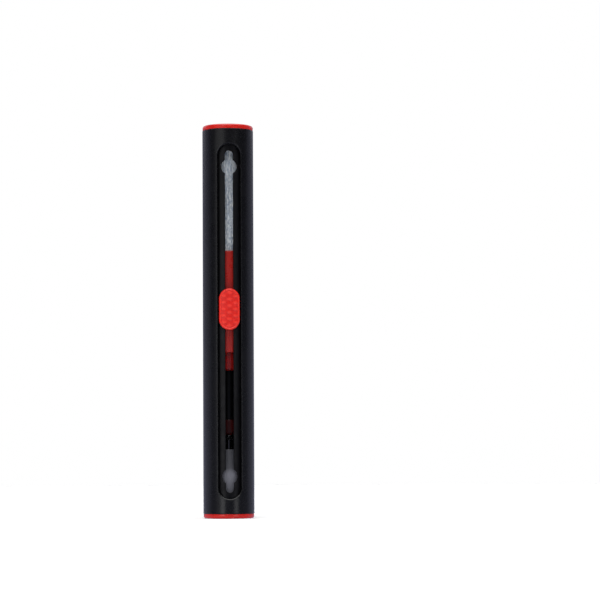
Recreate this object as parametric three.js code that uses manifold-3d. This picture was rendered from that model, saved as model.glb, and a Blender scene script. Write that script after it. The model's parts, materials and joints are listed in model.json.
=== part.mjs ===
// Lens cleaning pen. A two-tube barrel holds a shuttle with a brush at its upper end
// and a cleaning tip at its lower end. One thumb button slides the shuttle, so that
// either tool comes out, and pressing the button frees the lock that holds it.
// Millimetres, +Z up along the pen. The button is on the -Y side. The origin is at the
// centre of the lower ring's flat face, on which the pen stands.

import * as THREE from "three";
import { mergeVertices } from "three/addons/utils/BufferGeometryUtils.js";
import Module from "manifold-3d";

const wasm = await Module();
wasm.setup();

// ---- Driving dimensions ----

// Facets round a full turn, and along an outline's round end or edge
const BARREL_SIDES = 48;
const CORE_SIDES = 32;
const SMALL_SIDES = 24;
const EDGE_STEPS = 3;
const ARC_STEPS = 10;

// Barrel
const LENGTH = 129.5; // flat face of one ring to flat face of the other
const SLEEVE_R = 8.4;
const SLEEVE_WALL = 1.2;
const SLEEVE_CHAMFER = 0.2;
const TRACK_GAP = 0.1; // radial, sleeve to track tube
const TRACK_WALL = 0.9;
const SLOT_WIDTH = 2.6;
const HOLE_R = 2.55; // round lock holes on the slot
const WINDOW_SIDE_GAP = 0.35; // button to window, each side

// Where the button stands along the barrel: tip out, closed, brush out
const TIP_STATION = 13.8; // above the lower face
const REST_STATION = 68.4; // above the lower face
const BRUSH_STATION_INSET = 14.1; // below the upper face

// End rings
const FLANGE_THICKNESS = 1.5;
const FLANGE_INSET = 0.08; // flange edge, inside the sleeve's surface
const FLANGE_EDGE = 0.7; // rounding of the outer edge
const MOUTH_CHAMFER = 0.4; // lead-in at the bore
const SPIGOT_LENGTH = 3.5;
const BEAD_CENTRE = 1.9; // snap bead, beyond the flange
const BEAD_HALF = 0.45;
const BEAD_RISE = 0.2;
const BEAD_GAP = 0.1; // round the bead, in its groove
const TONGUE_WIDTH = 2.4;
const TONGUE_LENGTH = 1.6;
const TONGUE_GAP = 0.15; // each side of a tongue, and twice that beyond it
const END_GAP = 0.1; // spigot to track tube, along the pen

// Thumb button
const BUTTON_WIDTH = 6.8;
const BUTTON_LENGTH = 13.6;
const BUTTON_PROUD = 0.1;
const WINDOW_END_GAP = 0.6; // button to window, at either end of its travel
const PRESS_TRAVEL = 0.55;
const PRESS_SPARE = 0.1; // left under the pad when it is pressed home
const NECK_GAP = 0.15; // each side of the neck, in the slot
const NECK_LENGTH = 9.8;
const SLOT_END_GAP = 0.4; // neck to slot, at either end of its travel
const PIN_R = 0.9;
const PIN_GAP = 0.1;

// Lock spring
const STUD_GAP = 0.2; // radial, stud to lock hole
const STUD_PLAY = 0.05; // neck to stud
const RELEASE = 0.1; // pressed stud to track bore
const LEAF_THICKNESS = 0.25;
const LEAF_LIP = 0.05; // radial, stud to the leaf's edge
const LEAF_LENGTH = 12.4;
const LEAF_STEPS = 20;
const LEAF_RUN = 0.1; // radial, track bore to the crown's edges
const CLIP_SIDE_GAP = 0.3; // clip to the stud's wall
const CLIP_THICKNESS = 0.4;
const CLIP_RUN = 0.1; // radial, track bore to the clip's edge
const CLIP_GAP = 0.05; // clip to the stud's skin
const PIN_PAST_CLIP = 0.3;

// Carrier
const CARRIER_GAP = 0.3; // radial, track bore to carrier
const RING_GAP = 0.15; // radial, ring bore to carrier
const CARRIER_CHAMFER = 0.3;
const CUP_DEPTH = 10;
const CUP_WALL = 0.85;
const CUP_WEB = 2.9; // solid stretch between cup and pocket
const POCKET_SIDE_GAP = 0.3; // leaf spring to pocket
const POCKET_DEPTH = 2.75; // from the carrier's surface
const SOCKET_WEB = 1.7; // solid stretch between pocket and socket
const LEAF_LIFT = 0.15; // pocket floor to the leaf's ends

// Brush
const FERRULE_GAP = 0.1; // round the ferrule, in the cup
const FERRULE_WALL = 0.4;
const FERRULE_RECESS = 1.0; // ferrule's lip, below the carrier's
const FERRULE_LIFT = 0.2;
const PLUG_LENGTH = 1.6;
const HAIR_GAP = 0.1;
const HAIR_INSET = 2.2; // hair tips, below the upper face
const HAIR_WALL_GAP = 0.65; // hair to track bore
const HAIR_SWELL = 5.2; // length over which the hair widens above the carrier
const HAIR_DOME = 5.0;

// Cleaning tip
const SOCKET_NECK_LENGTH = 5.9;
const SOCKET_COVER = 1.45; // carrier's wall round the socket
const SOCKET_WALL = 1.1;
const SOCKET_GRIP = 5.7; // length inside the carrier
const SOCKET_GAP = 0.1;
const SOCKET_EDGE = 0.35;
const SHAFT_SHORT = 0.2; // shaft end, below the socket's
const COLLAR_STEP = 0.3; // collar outside the shaft
const COLLAR_LENGTH = 5.0;
const COLLAR_CHAMFER = 0.8; // at its lower edge
const COLLAR_GAP = 0.2; // collar to shaft shoulder
const SPIGOT_STEP = 1.0; // shaft's spigot, inside the shaft's surface
const SHAFT_SPIGOT = 2.8;
const STEM_R = 1.5;
const FLARE_STEP = 0.4; // stem's flare, inside the collar's surface
const FLARE_LENGTH = 1.6;
const STEM_FREE = 3.0; // between the flare and the head
const STEM_GRIP = 2.3; // in the head
const HEAD_GAP = 0.6; // radial, ring bore to head
const HEAD_TAPER = 1.9; // radial, from its lower edge to its top
const HEAD_CONE = 8.6; // length over which the head widens
const HEAD_EDGE = 0.5;
const HEAD_LENGTH = 16.6;
const HEAD_INSET = 6.0; // head's lower edge, above the lower face
const HEAD_RECESS = 3.0;
const HEAD_WALL = 0.9; // round the recess
const PAD_INSET = 3.2; // pad's tip, above the lower face
const PAD_CROWN = 1.2;
const PAD_THICKNESS = 0.5;
const FIT = 0.1; // radial and endwise, between the tip's nested pieces

// ---- Sizes that follow ----

const BRUSH_STATION = LENGTH - BRUSH_STATION_INSET;
const STATIONS = [TIP_STATION, REST_STATION, BRUSH_STATION];
const WINDOW_WIDTH = BUTTON_WIDTH + 2 * WINDOW_SIDE_GAP;

const SLEEVE_BORE = SLEEVE_R - SLEEVE_WALL;
const TRACK_R = SLEEVE_BORE - TRACK_GAP;
const TRACK_BORE = TRACK_R - TRACK_WALL;
const TRACK_END = FLANGE_THICKNESS + SPIGOT_LENGTH + END_GAP;
const CARRIER_R = TRACK_BORE - CARRIER_GAP;
const RING_BORE = CARRIER_R + RING_GAP;
const FLANGE_R = SLEEVE_R - FLANGE_INSET;
const TONGUE_R = TRACK_R - TRACK_GAP / 2;
const TONGUE_BORE = TRACK_BORE + TRACK_GAP / 2;

const BUTTON_TOP = SLEEVE_R + BUTTON_PROUD;
const BUTTON_UNDERSIDE = TRACK_R + PRESS_TRAVEL + PRESS_SPARE;
const STUD_TOP = TRACK_BORE + PRESS_TRAVEL - STUD_PLAY - RELEASE;
const STUD_R = HOLE_R - STUD_GAP;
const LEAF_WIDTH = 2 * (STUD_R + LEAF_LIP);
const NECK_UNDERSIDE = STUD_TOP + STUD_PLAY;
const STUD_ROOF = TRACK_BORE - CLIP_RUN;
const CROWN_Y = Math.sqrt((TRACK_BORE - LEAF_RUN) ** 2 - (LEAF_WIDTH / 2) ** 2);
const HOLLOW_R = STUD_R - LEAF_THICKNESS;
const CLIP_R = HOLLOW_R - CLIP_SIDE_GAP;
const CLIP_BORE = PIN_R + PIN_GAP;
const CLIP_FACE = Math.sqrt(STUD_ROOF ** 2 - CLIP_R ** 2) - CLIP_GAP;

const POCKET_WIDTH = LEAF_WIDTH + 2 * POCKET_SIDE_GAP;
const POCKET_LENGTH = LEAF_LENGTH + 2 * POCKET_SIDE_GAP;
const POCKET_FLOOR = CARRIER_R - POCKET_DEPTH;
const CUP_R = CARRIER_R - CUP_WALL;
const CUP_FLOOR = REST_STATION + POCKET_LENGTH / 2 + CUP_WEB;
const CARRIER_TOP = CUP_FLOOR + CUP_DEPTH;
const SOCKET_ROOF = REST_STATION - POCKET_LENGTH / 2 - SOCKET_WEB;
const SOCKET_TOP = SOCKET_ROOF - 2 * SOCKET_GAP;
const CARRIER_BOTTOM = SOCKET_TOP - SOCKET_GRIP;
const FERRULE_R = CUP_R - FERRULE_GAP;
const FERRULE_BORE = FERRULE_R - FERRULE_WALL;
const FERRULE_BOTTOM = CUP_FLOOR + FERRULE_LIFT;
const HAIR_ROOT_R = FERRULE_BORE - HAIR_GAP;
const HAIR_BOTTOM = FERRULE_BOTTOM + PLUG_LENGTH + HAIR_GAP;
const HAIR_R = TRACK_BORE - HAIR_WALL_GAP;
const HAIR_TOP = LENGTH - HAIR_INSET;

const SOCKET_BOTTOM = CARRIER_BOTTOM - SOCKET_NECK_LENGTH;
const SOCKET_BORE = CARRIER_R - SOCKET_COVER; // the carrier's bore for it
const SOCKET_R = SOCKET_BORE - SOCKET_GAP;
const SHAFT_R = SOCKET_R - SOCKET_WALL - FIT;
const SPIGOT_R = SHAFT_R - SPIGOT_STEP;
const COLLAR_R = SHAFT_R + COLLAR_STEP;
const FLARE_R = COLLAR_R - FLARE_STEP;
const HEAD_R = RING_BORE - HEAD_GAP;
const HEAD_TOP_R = HEAD_R - HEAD_TAPER;
const HEAD_RECESS_R = HEAD_R - HEAD_WALL;
const HEAD_TOP = HEAD_INSET + HEAD_LENGTH;
const FLARE_BOTTOM = HEAD_TOP + STEM_FREE;
const FLARE_TOP = FLARE_BOTTOM + FLARE_LENGTH;
const COLLAR_BOTTOM = FLARE_TOP + FIT;
const COLLAR_TOP = COLLAR_BOTTOM + COLLAR_LENGTH;
const SHAFT_BOTTOM = COLLAR_TOP + COLLAR_GAP;
const STEM_TOP = SHAFT_BOTTOM - SHAFT_SPIGOT - 2 * FIT;
const PAD_R = HEAD_RECESS_R - FIT;
const FOAM_R = PAD_R - PAD_THICKNESS - FIT;
const RECESS_TOP = HEAD_INSET + HEAD_RECESS;

// ---- Solids ----

// A closed geometry as a solid that can be joined and cut.
function solid(geometry) {
  const bare = geometry.clone();
  bare.deleteAttribute("normal");
  bare.deleteAttribute("uv");
  const merged = mergeVertices(bare, 1e-4);
  const corners = merged.index.array;
  const triangles = [];
  for (let i = 0; i < corners.length; i += 3) {
    const [a, b, c] = [corners[i], corners[i + 1], corners[i + 2]];
    if (a !== b && b !== c && c !== a) triangles.push(a, b, c);
  }
  return new wasm.Manifold(
    new wasm.Mesh({
      numProp: 3,
      vertProperties: new Float32Array(merged.attributes.position.array),
      triVerts: new Uint32Array(triangles),
    }),
  );
}

// A solid as a geometry that a mesh can show.
function toGeometry(shape) {
  const { numProp, vertProperties, triVerts } = shape.getMesh();
  const geometry = new THREE.BufferGeometry();
  const stride = new THREE.InterleavedBuffer(vertProperties, numProp);
  const corners = new THREE.InterleavedBufferAttribute(stride, 3, 0);
  const places = new Float32Array(corners.count * 3);
  for (let i = 0; i < corners.count; i += 1) {
    places.set([corners.getX(i), corners.getY(i), corners.getZ(i)], 3 * i);
  }
  geometry.setAttribute("position", new THREE.BufferAttribute(places, 3));
  geometry.setIndex(new THREE.BufferAttribute(triVerts, 1));
  geometry.computeVertexNormals();
  return geometry;
}

// A solid turned about Z. The outline holds [radius, height] points, anticlockwise:
// up on the outside and down on the inside or the axis.
function turned(outline, sides) {
  const ends = outline[0][0] === 0 ? [] : [outline[0]];
  const points = [...outline, ...ends].map(([r, z]) => new THREE.Vector2(r, z));
  const geometry = new THREE.LatheGeometry(points, sides);
  geometry.rotateX(Math.PI / 2);
  return solid(geometry);
}

// A plain round bar about Z, from one height to another.
function bar(radius, bottom, top, sides) {
  return turned([[0, bottom], [radius, bottom], [radius, top], [0, top]], sides);
}

// Points of a quarter round, [radius, height], turning from one angle to the next.
function quarterRound(centreR, centreZ, size, startAngle) {
  return Array.from({ length: EDGE_STEPS + 1 }, (_, i) => {
    const angle = startAngle + (i / EDGE_STEPS) * (Math.PI / 2);
    return [centreR + size * Math.cos(angle), centreZ + size * Math.sin(angle)];
  });
}

// A flat outline extruded towards the front, between two distances from the axis.
function frontward(shape, near, far, height) {
  const options = { depth: far - near, bevelEnabled: false, curveSegments: ARC_STEPS };
  const geometry = new THREE.ExtrudeGeometry(shape, options);
  geometry.rotateX(Math.PI / 2);
  geometry.translate(0, -near, height);
  return solid(geometry);
}

// An upright outline with round ends, centred on the origin.
function stadium(width, length) {
  const r = width / 2;
  const straight = length / 2 - r;
  const shape = new THREE.Shape();
  shape.absarc(0, straight, r, 0, Math.PI, false);
  shape.absarc(0, -straight, r, Math.PI, 2 * Math.PI, false);
  return shape;
}

function disc(radius) {
  return new THREE.Shape().absarc(0, 0, radius, 0, 2 * Math.PI, false);
}

// The same solid at the pen's other end.
function flipped(shape) {
  const turn = new THREE.Matrix4().makeRotationX(Math.PI);
  turn.premultiply(new THREE.Matrix4().makeTranslation(0, 0, LENGTH));
  return shape.transform(turn.elements);
}

// ---- Barrel ----

// Centre and half length of an opening that runs past both end stations.
function run(past) {
  const low = TIP_STATION - past;
  const high = BRUSH_STATION + past;
  return { centre: (low + high) / 2, length: high - low };
}

function outerSleeve() {
  const low = FLANGE_THICKNESS;
  const high = LENGTH - FLANGE_THICKNESS;
  const groove = SLEEVE_BORE + BEAD_RISE + BEAD_GAP - TRACK_GAP;
  const grooveHalf = BEAD_HALF + BEAD_GAP;
  const grooves = [high - BEAD_CENTRE, low + BEAD_CENTRE].flatMap((z) => [
    [SLEEVE_BORE, z + grooveHalf],
    [groove, z + grooveHalf / 2],
    [groove, z - grooveHalf / 2],
    [SLEEVE_BORE, z - grooveHalf],
  ]);
  const tube = turned(
    [
      [SLEEVE_BORE, low],
      [SLEEVE_R - SLEEVE_CHAMFER, low],
      [SLEEVE_R, low + SLEEVE_CHAMFER],
      [SLEEVE_R, high - SLEEVE_CHAMFER],
      [SLEEVE_R - SLEEVE_CHAMFER, high],
      [SLEEVE_BORE, high],
      ...grooves,
    ],
    BARREL_SIDES,
  );
  const { centre, length } = run(BUTTON_LENGTH / 2 + WINDOW_END_GAP);
  return tube.subtract(frontward(stadium(WINDOW_WIDTH, length), 0, 2 * SLEEVE_R, centre));
}

function trackTube() {
  const low = TRACK_END;
  const high = LENGTH - TRACK_END;
  let tube = turned(
    [[TRACK_BORE, low], [TRACK_R, low], [TRACK_R, high], [TRACK_BORE, high]],
    BARREL_SIDES,
  );
  const { centre, length } = run(NECK_LENGTH / 2 + SLOT_END_GAP);
  tube = tube.subtract(frontward(stadium(SLOT_WIDTH, length), 0, 2 * TRACK_R, centre));
  for (const station of STATIONS) {
    tube = tube.subtract(frontward(disc(HOLE_R), 0, 2 * TRACK_R, station));
  }
  const depth = TONGUE_LENGTH + 2 * TONGUE_GAP;
  for (const end of [low, high]) {
    const notch = new THREE.BoxGeometry(4 * TRACK_R, TONGUE_WIDTH + 2 * TONGUE_GAP, 2 * depth);
    tube = tube.subtract(solid(notch.translate(0, 0, end)));
  }
  return tube;
}

// The ring at the lower end: flange, spigot with a snap bead, and two tongues.
function lowerRing() {
  const bead = FLANGE_THICKNESS + BEAD_CENTRE;
  const top = FLANGE_THICKNESS + SPIGOT_LENGTH;
  let ring = turned(
    [
      [RING_BORE + MOUTH_CHAMFER, 0],
      ...quarterRound(FLANGE_R - FLANGE_EDGE, FLANGE_EDGE, FLANGE_EDGE, -Math.PI / 2),
      [FLANGE_R, FLANGE_THICKNESS],
      [TRACK_R, FLANGE_THICKNESS],
      [TRACK_R, bead - BEAD_HALF],
      [TRACK_R + BEAD_RISE, bead],
      [TRACK_R, bead + BEAD_HALF],
      [TRACK_R, top],
      [RING_BORE, top],
      [RING_BORE, MOUTH_CHAMFER],
    ],
    BARREL_SIDES,
  );
  const rise = TONGUE_LENGTH + SPIGOT_LENGTH / 2;
  const sides = new THREE.BoxGeometry(4 * TRACK_R, TONGUE_WIDTH, rise);
  sides.translate(0, 0, top + TONGUE_LENGTH - rise / 2);
  const collar = turned(
    [
      [TONGUE_BORE, top - rise],
      [TONGUE_R, top - rise],
      [TONGUE_R, top + rise],
      [TONGUE_BORE, top + rise],
    ],
    BARREL_SIDES,
  );
  ring = ring.add(collar.intersect(solid(sides)));
  return ring;
}

// ---- Carrier, brush ----

function carrier() {
  const body = turned(
    [
      [0, SOCKET_ROOF],
      [SOCKET_BORE, SOCKET_ROOF],
      [SOCKET_BORE, CARRIER_BOTTOM],
      [CARRIER_R - CARRIER_CHAMFER, CARRIER_BOTTOM],
      [CARRIER_R, CARRIER_BOTTOM + CARRIER_CHAMFER],
      [CARRIER_R, CARRIER_TOP - CARRIER_CHAMFER],
      [CARRIER_R - CARRIER_CHAMFER, CARRIER_TOP],
      [CUP_R, CARRIER_TOP],
      [CUP_R, CUP_FLOOR],
      [0, CUP_FLOOR],
    ],
    CORE_SIDES,
  );
  const pocket = new THREE.BoxGeometry(POCKET_WIDTH, CARRIER_R, POCKET_LENGTH);
  pocket.translate(0, -POCKET_FLOOR - CARRIER_R / 2, REST_STATION);
  return body.subtract(solid(pocket));
}

function brushFerrule() {
  const top = CARRIER_TOP - FERRULE_RECESS;
  return turned(
    [[FERRULE_BORE, FERRULE_BOTTOM], [FERRULE_R, FERRULE_BOTTOM], [FERRULE_R, top], [FERRULE_BORE, top]],
    CORE_SIDES,
  );
}

function brushPlug() {
  return bar(HAIR_ROOT_R, FERRULE_BOTTOM, FERRULE_BOTTOM + PLUG_LENGTH, CORE_SIDES);
}

function brushHair() {
  const neckR = (HAIR_ROOT_R + CUP_R) / 2;
  const domeBottom = HAIR_TOP - HAIR_DOME;
  const dome = Array.from({ length: ARC_STEPS / 2 }, (_, i) => {
    const angle = ((i + 1) / (ARC_STEPS / 2)) * (Math.PI / 2);
    return [HAIR_R * Math.cos(angle), domeBottom + HAIR_DOME * Math.sin(angle)];
  });
  dome[dome.length - 1][0] = 0;
  return turned(
    [
      [0, HAIR_BOTTOM],
      [HAIR_ROOT_R, HAIR_BOTTOM],
      [HAIR_ROOT_R, CARRIER_TOP - FERRULE_RECESS],
      [neckR, CARRIER_TOP],
      [HAIR_R, CARRIER_TOP + HAIR_SWELL],
      [HAIR_R, domeBottom],
      ...dome,
    ],
    CORE_SIDES,
  );
}

// ---- Lock spring, button ----

// The leaf arches from the pocket's floor up to the stud, at its full width.
function lockSpring() {
  const foot = POCKET_FLOOR + LEAF_LIFT;
  const rise = CROWN_Y - LEAF_THICKNESS - foot;
  const face = (offset) =>
    Array.from({ length: LEAF_STEPS + 1 }, (_, i) => {
      const along = (i / LEAF_STEPS - 0.5) * LEAF_LENGTH;
      const lift = 0.5 + 0.5 * Math.cos((2 * Math.PI * along) / LEAF_LENGTH);
      return new THREE.Vector2(along, foot + rise * lift + offset);
    });
  const outline = new THREE.Shape([...face(0), ...face(LEAF_THICKNESS).reverse()]);
  const strip = new THREE.ExtrudeGeometry(outline, { depth: LEAF_WIDTH, bevelEnabled: false });
  const alongZ = new THREE.Vector3(0, 0, 1);
  const toFront = new THREE.Vector3(0, -1, 0);
  const across = new THREE.Vector3(1, 0, 0);
  strip.applyMatrix4(new THREE.Matrix4().makeBasis(alongZ, toFront, across));
  strip.translate(-LEAF_WIDTH / 2, 0, REST_STATION);
  const upTo = (radius) => bar(radius, REST_STATION - HOLE_R, REST_STATION + HOLE_R, BARREL_SIDES);
  const skin = CROWN_Y - LEAF_THICKNESS / 2;
  const stud = frontward(disc(STUD_R), skin, SLEEVE_R, REST_STATION).intersect(upTo(STUD_TOP));
  const hollow = frontward(disc(HOLLOW_R), POCKET_FLOOR, SLEEVE_R, REST_STATION)
    .intersect(upTo(STUD_ROOF));
  const pinHole = frontward(disc(PIN_R + PIN_GAP), POCKET_FLOOR, SLEEVE_R, REST_STATION);
  return solid(strip).add(stud).subtract(hollow).subtract(pinHole);
}

function thumbButton() {
  const low = REST_STATION - BUTTON_LENGTH;
  const high = REST_STATION + BUTTON_LENGTH;
  const shell = turned(
    [[BUTTON_UNDERSIDE, low], [BUTTON_TOP, low], [BUTTON_TOP, high], [BUTTON_UNDERSIDE, high]],
    BARREL_SIDES * 2,
  );
  const outline = stadium(BUTTON_WIDTH, BUTTON_LENGTH);
  const pad = frontward(outline, 0, 2 * SLEEVE_R, REST_STATION).intersect(shell);
  const middle = (BUTTON_TOP + BUTTON_UNDERSIDE) / 2;
  const neckWidth = SLOT_WIDTH - 2 * NECK_GAP;
  const neck = frontward(stadium(neckWidth, NECK_LENGTH), NECK_UNDERSIDE, middle, REST_STATION);
  const pinEnd = CLIP_FACE - CLIP_THICKNESS - PIN_PAST_CLIP;
  const pin = frontward(disc(PIN_R), pinEnd, middle, REST_STATION);
  return pad.add(neck).add(pin);
}

function buttonClip() {
  const washer = disc(CLIP_R);
  washer.holes.push(new THREE.Path().absarc(0, 0, CLIP_BORE, 0, 2 * Math.PI, true));
  return frontward(washer, CLIP_FACE - CLIP_THICKNESS, CLIP_FACE, REST_STATION);
}

// ---- Cleaning tip ----

function tipSocket() {
  const bore = SHAFT_R + FIT;
  return turned(
    [
      [bore, SOCKET_BOTTOM],
      ...quarterRound(SOCKET_R - SOCKET_EDGE, SOCKET_BOTTOM + SOCKET_EDGE, SOCKET_EDGE, -Math.PI / 2),
      [SOCKET_R, SOCKET_TOP],
      [bore, SOCKET_TOP],
    ],
    CORE_SIDES,
  );
}

function tipShaft() {
  const top = SOCKET_TOP - SHAFT_SHORT;
  const spigotBottom = SHAFT_BOTTOM - SHAFT_SPIGOT;
  return turned(
    [
      [0, spigotBottom],
      [SPIGOT_R, spigotBottom],
      [SPIGOT_R, SHAFT_BOTTOM],
      [SHAFT_R, SHAFT_BOTTOM],
      [SHAFT_R, top],
      [0, top],
    ],
    SMALL_SIDES,
  );
}

function tipCollar() {
  const step = STEM_TOP + FIT;
  return turned(
    [
      [STEM_R + FIT, COLLAR_BOTTOM],
      [COLLAR_R - COLLAR_CHAMFER, COLLAR_BOTTOM],
      [COLLAR_R, COLLAR_BOTTOM + COLLAR_CHAMFER],
      [COLLAR_R, COLLAR_TOP],
      [SPIGOT_R + FIT, COLLAR_TOP],
      [SPIGOT_R + FIT, step],
      [STEM_R + FIT, step],
    ],
    SMALL_SIDES,
  );
}

function tipStem() {
  const bottom = HEAD_TOP - STEM_GRIP;
  return turned(
    [
      [0, bottom],
      [STEM_R, bottom],
      [STEM_R, FLARE_BOTTOM],
      [FLARE_R, FLARE_TOP],
      [STEM_R, FLARE_TOP],
      [STEM_R, STEM_TOP],
      [0, STEM_TOP],
    ],
    SMALL_SIDES,
  );
}

function tipHead() {
  const socketFloor = HEAD_TOP - STEM_GRIP - FIT;
  return turned(
    [
      [0, RECESS_TOP],
      [HEAD_RECESS_R, RECESS_TOP],
      [HEAD_RECESS_R, HEAD_INSET],
      ...quarterRound(HEAD_R - HEAD_EDGE, HEAD_INSET + HEAD_EDGE, HEAD_EDGE, -Math.PI / 2),
      [HEAD_R, HEAD_TOP - HEAD_CONE],
      ...quarterRound(HEAD_TOP_R - HEAD_EDGE, HEAD_TOP - HEAD_EDGE, HEAD_EDGE, 0),
      [STEM_R + FIT, HEAD_TOP],
      [STEM_R + FIT, socketFloor],
      [0, socketFloor],
    ],
    CORE_SIDES,
  );
}

// Points of a shallow bowl, from the axis out to a radius, [radius, height].
function bowl(radius, bottom, crown) {
  return Array.from({ length: EDGE_STEPS + 1 }, (_, i) => {
    const angle = (i / EDGE_STEPS) * (Math.PI / 2);
    return [radius * Math.sin(angle), bottom + crown * (1 - Math.cos(angle))];
  });
}

function tipPad() {
  const skirtTop = RECESS_TOP - 3 * FIT;
  const inside = bowl(PAD_R - PAD_THICKNESS, PAD_INSET + PAD_THICKNESS, PAD_CROWN);
  return turned(
    [
      ...bowl(PAD_R, PAD_INSET, PAD_CROWN),
      [PAD_R, skirtTop],
      [PAD_R - PAD_THICKNESS, skirtTop],
      ...inside.reverse(),
    ],
    CORE_SIDES,
  );
}

function tipFoam() {
  const top = RECESS_TOP - FIT;
  const bottom = PAD_INSET + PAD_THICKNESS + FIT;
  return turned([...bowl(FOAM_R, bottom, PAD_CROWN), [FOAM_R, top], [0, top]], CORE_SIDES);
}

// ---- The pen ----

function plastic(color, roughness) {
  return new THREE.MeshStandardMaterial({ color, roughness, metalness: 0 });
}

function metal(color, roughness) {
  return new THREE.MeshStandardMaterial({ color, roughness, metalness: 1 });
}

const anodised = metal(0x1c1d22, 0.4);
const trackBlack = plastic(0x131418, 0.45);
const ringRed = plastic(0xc81e1c, 0.3);
const carrierRed = plastic(0xb4221e, 0.35);
const socketRed = plastic(0x6e0f10, 0.3);
const collarRed = plastic(0x3a0a0c, 0.4);
const buttonRed = plastic(0xdc2e24, 0.45);
const shaftBlack = plastic(0x0c0c0e, 0.35);
const stemBlack = plastic(0x0a0a0c, 0.12);
const headGrey = plastic(0x6a6a72, 0.7);
const foamGrey = plastic(0x4a4a4e, 0.95);
const chamois = plastic(0x2a2a2c, 0.95);
const hairGrey = plastic(0x8a96a2, 0.8);
const resin = plastic(0xb08a4a, 0.3);
const aluminium = metal(0xc4c6ca, 0.35);
const springSteel = metal(0x9a9ca2, 0.3);

const PIECES = [
  ["outer_sleeve", outerSleeve(), anodised],
  ["track_tube", trackTube(), trackBlack],
  ["tip_end_ring", lowerRing(), ringRed],
  ["brush_end_ring", flipped(lowerRing()), ringRed],
  ["carrier", carrier(), carrierRed],
  ["brush_ferrule", brushFerrule(), aluminium],
  ["brush_plug", brushPlug(), resin],
  ["brush_hair", brushHair(), hairGrey],
  ["lock_spring", lockSpring(), springSteel],
  ["tip_socket", tipSocket(), socketRed],
  ["tip_shaft", tipShaft(), shaftBlack],
  ["tip_collar", tipCollar(), collarRed],
  ["tip_stem", tipStem(), stemBlack],
  ["tip_head", tipHead(), headGrey],
  ["tip_foam", tipFoam(), foamGrey],
  ["tip_pad", tipPad(), chamois],
  ["thumb_button", thumbButton(), buttonRed],
  ["button_clip", buttonClip(), springSteel],
];

const pen = new THREE.Group();
for (const [name, shape, material] of PIECES) {
  const mesh = new THREE.Mesh(toGeometry(shape), material);
  mesh.name = name;
  pen.add(mesh);
}

export default pen;
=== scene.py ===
"""Lens cleaning pen: the fine surfaces and finishes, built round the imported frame.

The pen stands on its lower ring. A slotted barrel holds a shuttle with a brush at its
upper end and a cleaning tip at its lower end, and a thumb button slides it. Lengths are
in metres, with MM to write them in millimetres. The button is on the -Y side.
"""

import json
import logging
import math
from dataclasses import dataclass, field
from enum import Enum
from typing import Callable, Sequence

import bmesh
import bpy
import numpy as np
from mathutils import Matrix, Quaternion, Vector


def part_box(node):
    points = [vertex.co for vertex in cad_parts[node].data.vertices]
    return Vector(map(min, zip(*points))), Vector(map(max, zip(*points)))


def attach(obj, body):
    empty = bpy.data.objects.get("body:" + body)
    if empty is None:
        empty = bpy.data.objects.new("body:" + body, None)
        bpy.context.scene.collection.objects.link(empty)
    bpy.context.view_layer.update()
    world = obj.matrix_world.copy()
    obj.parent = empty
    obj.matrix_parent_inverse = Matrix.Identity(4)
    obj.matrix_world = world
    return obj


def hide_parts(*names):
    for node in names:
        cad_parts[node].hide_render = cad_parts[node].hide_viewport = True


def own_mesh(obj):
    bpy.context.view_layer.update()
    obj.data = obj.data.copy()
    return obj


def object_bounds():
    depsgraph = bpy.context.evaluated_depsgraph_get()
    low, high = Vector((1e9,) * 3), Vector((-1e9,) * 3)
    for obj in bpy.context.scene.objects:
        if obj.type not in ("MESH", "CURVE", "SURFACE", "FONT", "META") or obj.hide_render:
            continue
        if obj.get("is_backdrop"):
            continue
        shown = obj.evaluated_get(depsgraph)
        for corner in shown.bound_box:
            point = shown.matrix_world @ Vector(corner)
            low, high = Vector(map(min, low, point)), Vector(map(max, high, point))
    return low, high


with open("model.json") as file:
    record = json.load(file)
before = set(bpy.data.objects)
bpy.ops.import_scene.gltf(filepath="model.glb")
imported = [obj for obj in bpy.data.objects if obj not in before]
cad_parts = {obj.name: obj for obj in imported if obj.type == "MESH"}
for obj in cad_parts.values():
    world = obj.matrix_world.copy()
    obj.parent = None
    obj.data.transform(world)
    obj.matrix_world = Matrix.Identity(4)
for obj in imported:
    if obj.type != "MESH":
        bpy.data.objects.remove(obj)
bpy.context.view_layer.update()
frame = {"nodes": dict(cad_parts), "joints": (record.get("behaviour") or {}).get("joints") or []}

MM = 0.001
GOLDEN_ANGLE = math.pi * (3 - math.sqrt(5))
LOG = logging.getLogger("pen")

Piece = bpy.types.Object
Socket = bpy.types.NodeSocket
Point = tuple[float, float]  # radius and height, or x and height


class Body(Enum):
    """The bodies that the pen's pieces ride on."""

    BARREL = "barrel"
    SHUTTLE = "shuttle"
    BUTTON = "button"


class PenEnd(Enum):
    """The two ends of the barrel, by the node of the ring that closes each."""

    TIP = "tip_end_ring"
    BRUSH = "brush_end_ring"


# ---- Colour and nodes ----


def linear(colour: str) -> tuple[float, float, float, float]:
    """Turn an sRGB hex colour into linear RGBA.

    Args:
        colour: six hex digits after a hash.

    Returns:
        Red, green, blue and alpha, linear.
    """
    parts = [int(colour[i : i + 2], 16) / 255 for i in (1, 3, 5)]
    flat = [c / 12.92 if c <= 0.04045 else ((c + 0.055) / 1.055) ** 2.4 for c in parts]
    return (flat[0], flat[1], flat[2], 1.0)


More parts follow.
